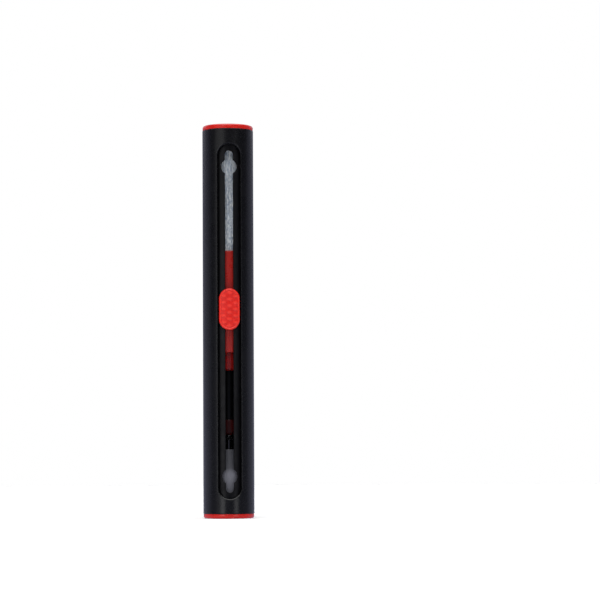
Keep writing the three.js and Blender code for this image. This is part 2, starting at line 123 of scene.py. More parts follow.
def add_node(
    tree: bpy.types.NodeTree,
    kind: str,
    settings: dict[str | int, object] | None = None,
    links: dict[str | int, Socket] | None = None,
) -> bpy.types.Node:
    """Add one node with its settings and links.

    Args:
        tree: the node tree to add to.
        kind: the node's type name, without its ShaderNode prefix.
        settings: values by property name, or by an input socket's name or number.
        links: output sockets by the name or number of the input they feed.

    Returns:
        The new node.
    """
    node = tree.nodes.new("ShaderNode" + kind)
    for key, value in (settings or {}).items():
        if isinstance(key, str) and hasattr(node, key):
            setattr(node, key, value)
        else:
            node.inputs[key].default_value = value
    for key, socket in (links or {}).items():
        tree.links.new(socket, node.inputs[key])
    return node


# ---- Finishes ----


TINT_SPAN = (0.35, 0.65)  # noise values over which the colour wanders
GLOSS_SPAN = (0.3, 0.7)  # noise values over which the gloss wanders
FINER = 0.55  # strength of each finer octave of a noise


@dataclass(frozen=True)
class Nodes:
    """A material's node tree and its shader, while it is being made."""

    tree: bpy.types.NodeTree
    shader: bpy.types.Node

    def feed(self, name: str, socket: Socket) -> None:
        """Link a socket to one of the shader's inputs."""
        self.tree.links.new(socket, self.shader.inputs[name])

    def place(self, along: float = 1.0) -> Socket:
        """The surface point in metres, with its height scaled.

        Args:
            along: scale of the height; a small one draws a pattern out along the pen.

        Returns:
            The vector socket.
        """
        where = add_node(self.tree, "TexCoord").outputs["Object"]
        scaled = add_node(self.tree, "Mapping", {"Scale": (1.0, 1.0, along)}, {"Vector": where})
        return scaled.outputs["Vector"]

    def pattern(
        self, size: float, along: float = 1.0, detail: float = 3.0, kind: str = "TexNoise"
    ) -> Socket:
        """A texture whose features have a real size.

        Args:
            size: feature size in millimetres.
            along: scale of the height, as in place.
            detail: octaves of finer features.
            kind: the texture node's kind.

        Returns:
            The texture's value socket.
        """
        values = {"Scale": 1.0 / (size * MM), "Detail": detail, "Roughness": FINER}
        return add_node(self.tree, kind, values, {"Vector": self.place(along)}).outputs[0]


@dataclass(frozen=True)
class Finish:
    """A surface's finish: what it is made of, and how it takes the light.

    Colours are sRGB hex. Grain is the spacing and depth of the surface's own texture,
    and patch the size of its wanderings in colour and gloss, all in millimetres.
    """

    name: str
    slot: str
    colour: str
    shade: str
    roughness: float
    ior: float = 1.5
    metallic: float = 0.0
    coat: float = 0.0
    coat_roughness: float = 0.08
    sheen: float = 0.0
    grain: float = 0.12
    grain_depth: float = 0.002
    stretch: float = 1.0
    patch: float = 4.0
    gloss_spread: float = 0.05

    def material(self) -> bpy.types.Material:
        """The finish as a material, made once and then shared.

        Returns:
            The material with its node tree.
        """
        made = bpy.data.materials.get(self.name)
        if made:
            return made
        made = bpy.data.materials.new(self.name)
        made.use_nodes = True
        tree = made.node_tree
        tree.nodes.clear()
        shader = add_node(tree, "BsdfPrincipled", {
            "Roughness": self.roughness, "IOR": self.ior, "Metallic": self.metallic,
            "Coat Weight": self.coat, "Coat Roughness": self.coat_roughness,
            "Sheen Weight": self.sheen,
        })
        add_node(tree, "OutputMaterial", links={"Surface": shader.outputs["BSDF"]})
        self.surface(Nodes(tree, shader))
        return made

    def tint(self, nodes: Nodes, factor: Socket) -> None:
        """Let the base colour wander between the finish's two colours.

        Args:
            nodes: the material's nodes.
            factor: low for the colour and high for the shade.
        """
        span = {"From Min": TINT_SPAN[0], "From Max": TINT_SPAN[1]}
        spread = add_node(nodes.tree, "MapRange", span, {"Value": factor})
        ends = {"data_type": "RGBA", 6: linear(self.colour), 7: linear(self.shade)}
        mix = add_node(nodes.tree, "Mix", ends, {0: spread.outputs["Result"]})
        nodes.feed("Base Color", mix.outputs[2])

    def gloss(self, nodes: Nodes, factor: Socket) -> None:
        """Let the roughness wander by the finish's gloss spread.

        Args:
            nodes: the material's nodes.
            factor: a noise value.
        """
        spread = add_node(nodes.tree, "MapRange", {
            "From Min": GLOSS_SPAN[0], "From Max": GLOSS_SPAN[1],
            "To Min": self.roughness - self.gloss_spread,
            "To Max": self.roughness + self.gloss_spread,
        }, {"Value": factor})
        nodes.feed("Roughness", spread.outputs["Result"])

    def relief(self, nodes: Nodes, height: Socket) -> None:
        """Raise the surface by the grain's depth.

        Args:
            nodes: the material's nodes.
            height: a value from 0 to 1.
        """
        bump = add_node(nodes.tree, "Bump", {"Distance": self.grain_depth * MM},
                        {"Height": height})
        nodes.feed("Normal", bump.outputs["Normal"])

    def surface(self, nodes: Nodes) -> None:
        """Even colour with a soft wander, and a fine grain.

        Args:
            nodes: the material's nodes.
        """
        self.tint(nodes, nodes.pattern(self.patch))
        self.gloss(nodes, nodes.pattern(self.patch / 2))
        self.relief(nodes, nodes.pattern(self.grain, self.stretch))


@dataclass(frozen=True)
class PaintedHighlight(Finish):
    """A finish painted paler where the piece stands furthest from the pen's axis: a painted
    highlight.
    """

    # The paler colour laid on as a painted highlight, far from the axis.
    highlight_colour: str = "#ffffff"
    highlight_start_radius: float = 1.0  # millimetres from the axis, up to where no painted highlight is laid
    highlight_full_radius: float = 2.0  # from where the painted highlight is full

    def surface(self, nodes: Nodes) -> None:
        """The even finish, with its colour carried over by radius to the paler colour of the
        painted highlight.

        Args:
            nodes: the material's nodes.
        """
        super().surface(nodes)
        even = nodes.shader.inputs["Base Color"].links[0].from_socket
        # Painted highlight: the colour turns paler with distance from the axis.
        radius = add_node(nodes.tree, "VectorMath", {"operation": "LENGTH"}, {0: nodes.place(0.0)})
        span = {"From Min": self.highlight_start_radius * MM, "From Max": self.highlight_full_radius * MM}
        highlight_share = add_node(nodes.tree, "MapRange", span, {"Value": radius.outputs["Value"]})
        mix = add_node(nodes.tree, "Mix", {"data_type": "RGBA", 7: linear(self.highlight_colour)},
                       {0: highlight_share.outputs["Result"], 6: even})
        nodes.feed("Base Color", mix.outputs[2])


@dataclass(frozen=True)
class Nap(Finish):
    """Soft leather whose short fibres lie in drifts and catch the light at a slant."""

    def surface(self, nodes: Nodes) -> None:
        """Fibres over drifts in colour, and fibres alone in relief.

        Args:
            nodes: the material's nodes.
        """
        fibres = nodes.pattern(self.grain, detail=6.0)
        drifts = nodes.pattern(self.patch, detail=2.0)
        times = {"operation": "MULTIPLY"}
        both = add_node(nodes.tree, "Math", times, {0: fibres, 1: drifts})
        doubled = add_node(nodes.tree, "Math", times | {1: 2.0}, {0: both.outputs["Value"]})
        self.tint(nodes, doubled.outputs["Value"])
        self.relief(nodes, fibres)


@dataclass(frozen=True)
class Cells(Finish):
    """Foam: round cells of one size, darker at their middles as painted shade in each cell's
    hollow.
    """

    def surface(self, nodes: Nodes) -> None:
        """Cell walls in relief, and painted shade in the cells' hollows in colour.

        Args:
            nodes: the material's nodes.
        """
        walls = nodes.pattern(self.grain, detail=0.0, kind="TexVoronoi")
        # Painted shade: darker colour where the cells dip.
        self.tint(nodes, walls)
        self.relief(nodes, walls)


@dataclass(frozen=True)
class Strands(Finish):
    """Hair: each strand a little lighter or darker than the next, all drawn lengthwise."""

    def surface(self, nodes: Nodes) -> None:
        """Lengthwise streaks a strand wide, and slow changes along them.

        Args:
            nodes: the material's nodes.
        """
        self.tint(nodes, nodes.pattern(self.grain, self.stretch, detail=2.0))
        self.gloss(nodes, nodes.pattern(self.patch))


# Outer tube: satin black lacquer on aluminium. A dielectric skin over near black, so it
# shows the room as a soft grey sheen, with a very slight orange peel.
SLEEVE_LACQUER = Finish(
    "satin_black_lacquer", "sleeve_black", "#070709", "#0a0a0c", 0.27,
    ior=1.5, grain=0.35, grain_depth=0.0008, patch=9.0, gloss_spread=0.02,
)
# Track tube: black ABS from a spark-eroded mould, so its grain is fine and matte.
TRACK_ABS = Finish(
    "moulded_black_abs", "track_black", "#07070a", "#050507", 0.36,
    ior=1.35, grain=0.18, grain_depth=0.002, patch=5.0,
)
# End rings: red ABS from a polished mould, with a deep colour and a clear shine.
RING_ABS = Finish(
    "polished_red_abs", "ring_red", "#c81e14", "#be1a11", 0.22,
    ior=1.5, grain=2.0, grain_depth=0.0004, patch=3.0, gloss_spread=0.03,
)
# Carrier: the same red ABS, off the tool, with faint draw marks along the pen.
CARRIER_ABS = Finish(
    "drawn_red_abs", "carrier_red", "#9e1c16", "#951813", 0.3,
    ior=1.48, grain=0.25, grain_depth=0.002, stretch=0.08, patch=4.0,
)
# Socket: deep red acetal. It is darker than the carrier and waxy.
SOCKET_ACETAL = Finish(
    "deep_red_acetal", "socket_red", "#921312", "#80100f", 0.22,
    ior=1.45, coat=0.1, grain=0.3, grain_depth=0.001, patch=2.5,
)
# Collar: dark red plastic with a satin face.
COLLAR_PLASTIC = Finish(
    "satin_dark_red_plastic", "collar_red", "#3a0709", "#300608", 0.35,
    ior=1.4, grain=0.2, grain_depth=0.002, patch=2.0,
)
# Shaft: black acetal rod, turned, with faint tool marks round it.
SHAFT_ACETAL = Finish(
    "turned_black_acetal", "shaft_black", "#020203", "#030304", 0.34,
    ior=1.35, grain=0.15, grain_depth=0.002, stretch=6.0, patch=3.0,
)
# Stem: black plastic from a polished mould. Its one bright line is the room's light.
STEM_PLASTIC = Finish(
    "polished_black_plastic", "stem_black", "#08080a", "#0b0b0e", 0.1,
    ior=1.55, coat=1.0, grain=0.4, grain_depth=0.0004, patch=2.0, gloss_spread=0.02,
)
# Head: grey elastomer, matte. It is painted paler where it is widest, as a painted highlight, and
# keeps a darker grey up its narrower cone.
HEAD_ELASTOMER = PaintedHighlight(
    "matte_grey_elastomer", "head_grey", "#4c4d55", "#43444b", 0.45,
    ior=1.45, sheen=0.1, grain=0.12, grain_depth=0.006, patch=2.5,
    # Painted highlight where the head is widest.
    highlight_colour="#6e6f79", highlight_start_radius=5.05, highlight_full_radius=5.44,
)
# Button: red ABS with a moulded grip, painted paler on its high spots and its rim as a painted
# highlight.
BUTTON_ABS = PaintedHighlight(
    "grip_red_abs", "button_red", "#d41509", "#cc1207", 0.38,
    ior=1.46, grain=0.15, grain_depth=0.003, patch=1.8, gloss_spread=0.05,
    # Painted highlight on the grip's high spots and the rim.
    highlight_colour="#e42b1d", highlight_start_radius=8.39, highlight_full_radius=8.47,
)
# Ferrule: drawn aluminium tube with fine lines along its length.
FERRULE_ALUMINIUM = Finish(
    "drawn_aluminium", "ferrule_aluminium", "#c9cbd0", "#b6b8be", 0.3,
    metallic=1.0, grain=0.08, grain_depth=0.002, stretch=0.03, patch=1.5,
)
# Spring: bright rolled steel strip.
SPRING_STEEL = Finish(
    "rolled_spring_steel", "spring_steel", "#a5a8ad", "#8f9298", 0.28,
    metallic=1.0, grain=0.06, grain_depth=0.0015, stretch=0.05, patch=1.0,
)
# Plug: amber epoxy, poured and cured glossy.
PLUG_EPOXY = Finish(
    "cured_epoxy", "resin", "#b0864a", "#9c7238", 0.15,
    ior=1.55, coat=0.3, grain=0.8, grain_depth=0.002, patch=1.2,
)
# Hair: synthetic fibre, blue grey, pale and slightly translucent in the bundle. A strand
# is drawn twice its real width, so that single strands show.
HAIR_FIBRE = Strands(
    "blue_grey_fibre", "brush_hair", "#fafdff", "#a2b2c6", 0.5,
    ior=1.5, sheen=0.2, grain=0.55, stretch=0.6, patch=6.0, gloss_spread=0.08,
)
# Under the strands: the imported middle of the bundle, coloured darker than the strands as painted
# shade, since light hardly reaches it.
SHADED_HAIR_CORE = Strands(
    "packed_fibre", "brush_hair", "#d2dff0", "#90a0b6", 0.75,
    ior=1.5, grain=0.4, stretch=0.3, patch=5.0,
)
# Pad: chamois charged with carbon powder, near black, napped.
PAD_CHAMOIS = Nap(
    "carbon_chamois", "chamois", "#232326", "#34343a", 0.95,
    ior=1.4, sheen=0.5, grain=0.1, grain_depth=0.03, patch=1.4,
)
# Core: dark open-celled foam.
CORE_FOAM = Cells(
    "open_cell_foam", "foam", "#3c3c40", "#59595e", 0.95,
    ior=1.4, grain=0.35, grain_depth=0.08,
)


# ---- Meshes ----

CREASE = 35.0  # degrees, the angle from which an edge stays sharp
WELD = 1e-4 * MM  # points closer than this are one

def linked(name: str, data: bpy.types.ID) -> Piece:
    """Put data into the scene.

    Args:
        name: the new object's name.
        data: a mesh, a light or a camera.

    Returns:
        The object that holds it.
    """
    made = bpy.data.objects.new(name, data)
    bpy.context.scene.collection.objects.link(made)
    return made


def mesh_object(
    name: str,
    vertices: Sequence[Sequence[float]],
    faces: Sequence[Sequence[int]],
    crease: float = CREASE,
) -> Piece:
    """Make a closed mesh into an object that is smooth except at its creases.

    Args:
        name: the piece's name.
        vertices: points in metres.
        faces: vertex numbers, face by face.
        crease: the angle from which an edge stays sharp.

    Returns:
        The object, linked to the scene.
    """
    mesh = bpy.data.meshes.new(name)
    mesh.from_pydata([tuple(v) for v in vertices], [], [tuple(f) for f in faces])
    work = bmesh.new()
    work.from_mesh(mesh)
    bmesh.ops.remove_doubles(work, verts=work.verts, dist=WELD)
    bmesh.ops.recalc_face_normals(work, faces=work.faces)
    work.to_mesh(mesh)
    work.free()
    made = linked(name, mesh)
    smooth(made, crease)
    return made


def smooth(piece: Piece, crease: float = CREASE) -> None:
    """Shade a piece smooth, with sharp edges from the crease angle up."""
    piece.data.shade_smooth()
    piece.data.set_sharp_from_angle(angle=math.radians(crease))


def combine(
    piece: Piece, tool: Piece, operation: str, crease: float = CREASE
) -> Piece:
    """Join or cut a piece with another, which is used up.

    Args:
        piece: the piece to change.
        tool: the piece that joins or cuts it.
        operation: UNION, DIFFERENCE or INTERSECT.
        crease: the angle from which an edge stays sharp.

    Returns:
        The changed piece.
    """
    change = piece.modifiers.new("combine", "BOOLEAN")
    change.operation, change.object, change.solver = operation, tool, "EXACT"
    graph = bpy.context.evaluated_depsgraph_get()
    made = bpy.data.meshes.new_from_object(piece.evaluated_get(graph))
    piece.modifiers.remove(change)
    piece.data = made
    bpy.data.objects.remove(tool)
    smooth(piece, crease)
    return piece


def arc(start: float, end: float, steps: int) -> list[float]:
    """Angles from start to end in equal steps, both ends included, in radians."""
    return [start + (end - start) * i / steps for i in range(steps + 1)]


def softened(corners: Sequence[tuple[float, float, float]], steps: int = 5) -> list[Point]:
    """Round the corners of a closed outline.

    Args:
        corners: radius, height and rounding of each corner, all in one unit.
        steps: steps in each rounding.

    Returns:
        The outline's points.
    """
    points: list[Point] = []
    count = len(corners)
    for i, (r, z, fillet) in enumerate(corners):
        if fillet <= 0:
            points.append((r, z))
            continue
        here = Vector((r, z))
        before = (Vector(corners[i - 1][:2]) - here).normalized()
        after = (Vector(corners[(i + 1) % count][:2]) - here).normalized()
        half = math.acos(max(-1.0, min(1.0, before.dot(after)))) / 2
        centre = here + (before + after).normalized() * (fillet / math.sin(half))
        start = here + before * (fillet / math.tan(half)) - centre
        end = here + after * (fillet / math.tan(half)) - centre
        turn = math.atan2(start.x * end.y - start.y * end.x, start.dot(end))
        for angle in arc(0.0, turn, steps):
            c, s = math.cos(angle), math.sin(angle)
            points.append((centre.x + start.x * c - start.y * s,
                           centre.y + start.x * s + start.y * c))
    return points


def revolve(name: str, outline: Sequence[Point], sides: int = 96) -> Piece:
    """Turn an outline about the pen's axis.

    Args:
        name: the piece's name.
        outline: radius and height points in metres. It closes on itself or on the axis.
        sides: steps round the axis.

    Returns:
        The piece.
    """
    vertices: list[tuple[float, float, float]] = []
    rings: list[list[int]] = []
    for r, z in outline:
        on_axis = r < WELD
        ring = []
        for i in range(1 if on_axis else sides):
            angle = 2 * math.pi * i / sides
            ring.append(len(vertices))
            vertices.append((r * math.sin(angle), -r * math.cos(angle), z))
        rings.append(ring)
    faces: list[tuple[int, ...]] = []
    for one, two in zip(rings, rings[1:] + rings[:1]):
        faces += band(one, two)
    return mesh_object(name, vertices, faces)


def band(one: Sequence[int], two: Sequence[int], closed: bool = True) -> list[tuple[int, ...]]:
    """Faces between two rows of vertices, either of which may be a single point.

    Args:
        one: vertex numbers of the first row.
        two: vertex numbers of the second row.
        closed: whether the rows are rings.

    Returns:
        The faces.
    """
    count = max(len(one), len(two))
    if len(one) == 1 and len(two) == 1:
        return []
    faces = []
    for i in range(count if closed else count - 1):
        j = (i + 1) % count
        if len(one) == 1:
            faces.append((one[0], two[j], two[i]))
        elif len(two) == 1:
            faces.append((one[i], one[j], two[0]))
        else:
            faces.append((one[i], one[j], two[j], two[i]))
    return faces


@dataclass(frozen=True)
class Spoke:
    """A point of an upright outline, as a reach out from a centre on the mid line."""

    height: float
    reach: float
    angle: float

    def at(self, grow: float = 0.0) -> Point:
        """The point, or the one further out along the same spoke."""
        out = self.reach + grow
        return (out * math.cos(self.angle), self.height + out * math.sin(self.angle))

    def mirrored(self) -> "Spoke":
        """The same spoke on the other side of the mid line."""
        return Spoke(self.height, self.reach, math.pi - self.angle)


@dataclass(frozen=True)
class Slot:
    """An upright slot with round ends, and round holes on it where it has any."""

    half_width: float
    low: float
    high: float
    holes: tuple[float, ...] = ()
    hole_radius: float = 0.0
    side_step: float = 2.5 * MM
    arc_steps: int = 8

    def side(self) -> list[Spoke]:
        """The right side, between the round ends.

        Returns:
            The spokes, from the bottom up.
        """
        start, end = self.low + self.half_width, self.high - self.half_width
        spokes: list[Spoke] = []
        height = start
        for hole in self.holes:
            lean = math.acos(self.half_width / self.hole_radius)
            rise = self.hole_radius * math.sin(lean)
            spokes += self.straight(height, hole - rise)
            spokes.append(self.corner(hole - rise, -lean / 2))
            angles = arc(-lean, lean, 2 * self.arc_steps)[1:-1]
            spokes += [Spoke(hole, self.hole_radius, a) for a in angles]
            spokes.append(self.corner(hole + rise, lean / 2))
            height = hole + rise
        return spokes + self.straight(height, end)

    def corner(self, height: float, lean: float) -> Spoke:
        """The spoke of the sharp corner where a hole meets the side."""
        reach = self.half_width / math.cos(lean)
        return Spoke(height - reach * math.sin(lean), reach, lean)

    def straight(self, start: float, end: float) -> list[Spoke]:
        """A straight stretch of the side, without the points at its ends."""
        steps = max(2, round((end - start) / self.side_step))
        return [Spoke(z, self.half_width, 0.0) for z in arc(start, end, steps)[1:-1]]

    def loop(self, bend: float = math.pi / 4) -> list[Spoke]:
        """The whole outline, anticlockwise from its lowest point.

        Args:
            bend: an angle above the level that one spoke of each round end has.

        Returns:
            The spokes.
        """
        foot, head = self.low + self.half_width, self.high - self.half_width
        rise = arc(-math.pi / 2, -bend, self.arc_steps) + arc(-bend, 0.0, self.arc_steps)[1:]
        right = [Spoke(foot, self.half_width, a) for a in rise]
        right += self.side()
        right += [Spoke(head, self.half_width, -a) for a in reversed(rise)]
        return right + [s.mirrored() for s in reversed(right[1:-1])]


@dataclass
class PiercedTube:
    """A tube about the pen's axis with a slot cut straight into its front.

    Runs are radius and inset pairs, from the patch round the slot out to the tube's end.
    """

    name: str
    slot: Slot
    low: float
    high: float
    outer: float
    bore: float
    patch_half: float
    patch_inset: float
    outer_run: Sequence[Point]
    inner_run: Sequence[Point]
    edge: float
    inner_edge: float = 0.08 * MM
    edge_steps: int = 4
    back_steps: int = 60
    patch_steps: int = 7
    crowding: float = 1.4  # how much the patch's rows crowd towards the slot
    vertices: list[tuple[float, float, float]] = field(default_factory=list)
    faces: list[tuple[int, ...]] = field(default_factory=list)

    def add(self, x: float, z: float, radius: float) -> int:
        """A vertex on the front half of a cylinder, and its number."""
        self.vertices.append((x, -math.sqrt(max(radius * radius - x * x, 0.0)), z))
        return len(self.vertices) - 1

    def partner(self, spoke: Spoke) -> Point:
        """Where a spoke meets the rectangular patch that the slot sits in.

        Args:
            spoke: a spoke of the slot's outline.

        Returns:
            The point on the patch's rim.
        """
        x, z = spoke.at()
        low, high = self.low + self.patch_inset, self.high - self.patch_inset
        foot, head = self.slot.low + self.slot.half_width, self.slot.high - self.slot.half_width
        if foot <= z <= head:
            return (math.copysign(self.patch_half, x), z)
        drop = (low if z < foot else high) - spoke.height
        slope_x = math.cos(spoke.angle) / abs(math.sin(spoke.angle)) * abs(drop)
        if abs(slope_x) <= self.patch_half * (1 + 1e-9):
            return (slope_x, spoke.height + drop)
        rise = math.tan(spoke.angle) * math.copysign(self.patch_half, x)
        return (math.copysign(self.patch_half, x), spoke.height + rise)

    def shell(
        self, radius: float, edge: float, run: Sequence[Point], side: float
    ) -> tuple[list[int], list[int], list[int]]:
        """One face of the tube, inner or outer.

        Args:
            radius: the face's radius.
            edge: rounding of the slot's edge.
            run: the run out to each end.
            side: 1 for the outer face, -1 for the bore.

        Returns:
            The slot's edge loop, and the rings at the lower and upper ends.
        """
        corner = math.atan2(self.slot.low + self.slot.half_width - self.low - self.patch_inset,
                            self.patch_half)
        spokes = self.slot.loop(corner)
        goals = [self.partner(s) for s in spokes]
        loops = []
        for a in arc(0.0, math.pi / 2, self.edge_steps):
            grow, drop = edge * (1 - math.cos(a)), edge * (1 - math.sin(a))
            loops.append([self.add(*s.at(grow), radius - side * drop) for s in spokes])
        for step in range(1, self.patch_steps + 1):
            share = (step / self.patch_steps) ** self.crowding
            loops.append([
                self.add(x + (u - x) * share, z + (w - z) * share, radius)
                for (x, z), (u, w) in zip([s.at(edge) for s in spokes], goals)
            ])
        for one, two in zip(loops, loops[1:]):
            self.faces += band(one, two)
        rim = loops[-1]
        half = len(spokes) // 2
        sides = [i for i, (u, _) in enumerate(goals) if abs(abs(u) - self.patch_half) < 1e-9]
        right = [i for i in sides if i < half]
        left = [i for i in reversed(sides) if i > half]
        start = math.asin(self.patch_half / radius)
        columns = [[rim[i] for i in right]]
        for angle in arc(start, 2 * math.pi - start, self.back_steps)[1:-1]:
            column = []
            for i in right:
                column.append(len(self.vertices))
                x, y = radius * math.sin(angle), -radius * math.cos(angle)
                self.vertices.append((x, y, goals[i][1]))
            columns.append(column)
        columns.append([rim[i] for i in left])
        for one, two in zip(columns, columns[1:]):
            self.faces += band(one, two, closed=False)
        behind = columns[1:-1]
        foot = [rim[i] for i in range(left[0], len(rim))] + [rim[i] for i in range(right[0] + 1)]
        foot += [column[0] for column in behind]
        head = [rim[i] for i in range(right[-1], left[-1] + 1)]
        head += [column[-1] for column in reversed(behind)]
        ends = self.extend(foot, run, self.low, 1), self.extend(head, run, self.high, -1)
        return loops[0], *ends

    def extend(self, ring: list[int], run: Sequence[Point], end: float, way: int) -> list[int]:
        """Carry an end ring out along a run.

        Args:
            ring: the ring at the patch's end.
            run: radius and inset of each further ring.
            end: height of the tube's end.
            way: 1 at the lower end, -1 at the upper.

        Returns:
            The last ring.
        """
        for reach, inset in run:
            further = []
            for i in ring:
                x, y, _ = self.vertices[i]
                further.append(len(self.vertices))
                grow = reach / math.hypot(x, y)
                self.vertices.append((x * grow, y * grow, end + way * inset))
            self.faces += band(ring, further)
            ring = further
        return ring

    def build(self) -> Piece:
        """The tube as a piece.

        Returns:
            The piece, without a finish.
        """
        outside = self.shell(self.outer, self.edge, self.outer_run, 1.0)
        inside = self.shell(self.bore, self.inner_edge, self.inner_run, -1.0)
        for one, two in zip(outside, inside):
            self.faces += band(one, two)
        return mesh_object(self.name, self.vertices, self.faces)


def install(
    piece: Piece, body: Body, finish: Finish, *nodes: str
) -> Piece:
    """Give a piece its finish, and put it on its body in place of the nodes it stands for.

    Args:
        piece: the piece.
        body: the body it rides on.
        finish: its finish.
        nodes: the frame's nodes that it replaces.

    Returns:
        The piece.
    """
    piece.data.materials.clear()
    piece.data.materials.append(finish.material())
    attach(piece, body.value)
    if nodes:
        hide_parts(*nodes)
    LOG.info("%s on %s, %d faces", piece.name, body.value, len(piece.data.polygons))
    return piece


def dress(node: str, finish: Finish) -> None:
    """Give one of the frame's own nodes its finish.

    Args:
        node: the node's name.
        finish: its finish.
    """
    kept = frame["nodes"][node]
    kept.data.materials.clear()
    kept.data.materials.append(finish.material())
    LOG.info("%s kept, finish %s", node, finish.name)


def block(name: str, low: Sequence[float], high: Sequence[float]) -> Piece:
    """A square-edged block, for cutting and joining.

    Args:
        name: the block's name.
        low: its low corner.
        high: its high corner.

    Returns:
        The block.
    """
    corners = [(x, y, z) for x in (low[0], high[0]) for y in (low[1], high[1])
               for z in (low[2], high[2])]
    faces = [(0, 1, 3, 2), (4, 6, 7, 5), (0, 4, 5, 1), (2, 3, 7, 6), (0, 2, 6, 4), (1, 5, 7, 3)]
    return mesh_object(name, corners, faces)


def post(name: str, slot: Slot, near: float, far: float) -> Piece:
    """An upright outline carried straight forward.

    Args:
        name: the post's name.
        slot: its outline.
        near: distance of its near end from the axis.
        far: distance of its far end.

    Returns:
        The post.
    """
    loop = slot.loop()
    vertices = [(s.at()[0], -y, s.at()[1]) for y in (near, far) for s in loop]
    count = len(loop)
    rows = [list(range(count)), list(range(count, 2 * count))]
    faces = band(rows[0], rows[1]) + [tuple(rows[0]), tuple(rows[1])]
    return mesh_object(name, vertices, faces)


# ---- Barrel ----


@dataclass
class Barrel:
    """The outer sleeve, the track tube inside it and the two end rings."""

    sleeve_wall: float = 1.2 * MM
    sleeve_chamfer: float = 0.2 * MM
    track_wall: float = 0.9 * MM
    window_half: float = 3.75 * MM
    window_past: float = 7.4 * MM  # window's end beyond the button's last station
    slot_half: float = 1.3 * MM
    slot_past: float = 5.3 * MM
    hole_radius: float = 2.55 * MM
    ring_gap: float = 0.15 * MM  # ring's bore to the carrier
    notch_half: float = 1.35 * MM
    notch_depth: float = 1.9 * MM
    flange_round: float = 0.72 * MM
    bore_round: float = 0.34 * MM
    spigot: float = 3.5 * MM  # its length, from the flange
    bead: float = 1.9 * MM  # the snap bead's place on the spigot
    bead_half: float = 0.45 * MM
    bead_rise: float = 0.19 * MM
    groove_depth: float = 0.2 * MM
    tongue_half: float = 1.2 * MM
    tongue_reach: tuple[float, float] = (0.83 * MM, 0.25 * MM)  # in from the track's outside
    tongue_span: tuple[float, float] = (0.6 * MM, 1.6 * MM)  # below and past the spigot's end

    def stations(self) -> tuple[float, float, float]:
        """Where the button stops.

        Returns:
            Its heights with the tip out, closed, and with the brush out.
        """
        low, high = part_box("thumb_button")
        rest = (low.z + high.z) / 2
        slide = next(j for j in frame["joints"] if j["name"] == "shuttle_slide")
        down, up = slide["range_m"]
        return (rest + down, rest, rest + up)

    def sleeve(self) -> None:
        """The outer tube, with its window and the grooves for the rings' snap beads."""
        low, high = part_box("outer_sleeve")
        tip, _, brush = self.stations()
        outer, bore = high.x, high.x - self.sleeve_wall
        ramp = ((0.0, 0.55), (self.groove_depth, 0.28), (self.groove_depth, -0.28), (0.0, -0.55))
        groove = [(bore + depth, self.bead + rise * MM) for depth, rise in ramp]
        tube = PiercedTube(
            "sleeve",
            Slot(self.window_half, tip - self.window_past, brush + self.window_past),
            low.z, high.z, outer, bore,
            patch_half=6.0 * MM,
            patch_inset=3.2 * MM,
            outer_run=[(outer, self.sleeve_chamfer), (outer - self.sleeve_chamfer, 0.0)],
            inner_run=[*groove, (bore, 0.0)],
            edge=0.4 * MM,
        )
        install(tube.build(), Body.BARREL, SLEEVE_LACQUER, "outer_sleeve")

    def track(self) -> None:
        """The inner tube, with the slot, its lock holes and the notches for the rings."""
        low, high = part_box("track_tube")
        stations = self.stations()
        outer, bore = high.x, high.x - self.track_wall
        tube = PiercedTube(
            "track",
            Slot(self.slot_half, stations[0] - self.slot_past, stations[2] + self.slot_past,
                 stations, self.hole_radius),
            low.z, high.z, outer, bore,
            patch_half=4.6 * MM,
            patch_inset=2.2 * MM,
            outer_run=[(outer, 0.0)],
            inner_run=[(bore, 0.0)],
            edge=0.14 * MM,
            patch_steps=10,
        ).build()
        for end, way in ((low.z, 1), (high.z, -1)):
            reach = 2 * outer
            heights = sorted((end - way * outer, end + way * self.notch_depth))
            notch = block("notch", (-reach, -self.notch_half, heights[0]),
                          (reach, self.notch_half, heights[1]))
            tube = combine(tube, notch, "DIFFERENCE")
        install(tube, Body.BARREL, TRACK_ABS, "track_tube")

    def ring(self, end: PenEnd) -> None:
        """One end ring: a rounded flange, a spigot with a snap bead, and two tongues.

        Args:
            end: which end it closes.
        """
        low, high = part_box(end.value)
        flange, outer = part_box("outer_sleeve")[0].z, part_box("track_tube")[1].x
        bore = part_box("carrier")[1].x + self.ring_gap
        top, bead = flange + self.spigot, flange + self.bead
        corners = [
            (bore, 0.0, self.bore_round),
            (high.x, 0.0, self.flange_round),
            (high.x, flange, 0.12 * MM),
            (outer, flange, 0.0),
            (outer, bead - self.bead_half, 0.0),
            (outer + self.bead_rise, bead, 0.1 * MM),
            (outer, bead + self.bead_half, 0.0),
            (outer, top, 0.1 * MM),
            (bore, top, 0.1 * MM),
        ]
        span = [top - self.tongue_span[0], top + self.tongue_span[1]]
        if end is PenEnd.BRUSH:
            corners = [(r, high.z - z, f) for r, z, f in reversed(corners)]
            span = [high.z - z for z in reversed(span)]
        ring = revolve(end.value.replace("_end", ""), softened(corners, 7), 128)
        for side in (-1, 1):
            reaches = sorted(side * (outer - inset) for inset in self.tongue_reach)
            tongue = block("tongue", (reaches[0], -self.tongue_half, span[0]),
                           (reaches[1], self.tongue_half, span[1]))
            ring = combine(ring, tongue, "UNION")
        install(ring, Body.BARREL, RING_ABS, end.value)

    def build(self) -> None:
        """Build and dress the whole barrel."""
        self.sleeve()
        self.track()
        for end in PenEnd:
            self.ring(end)


# ---- Thumb button and its lock ----


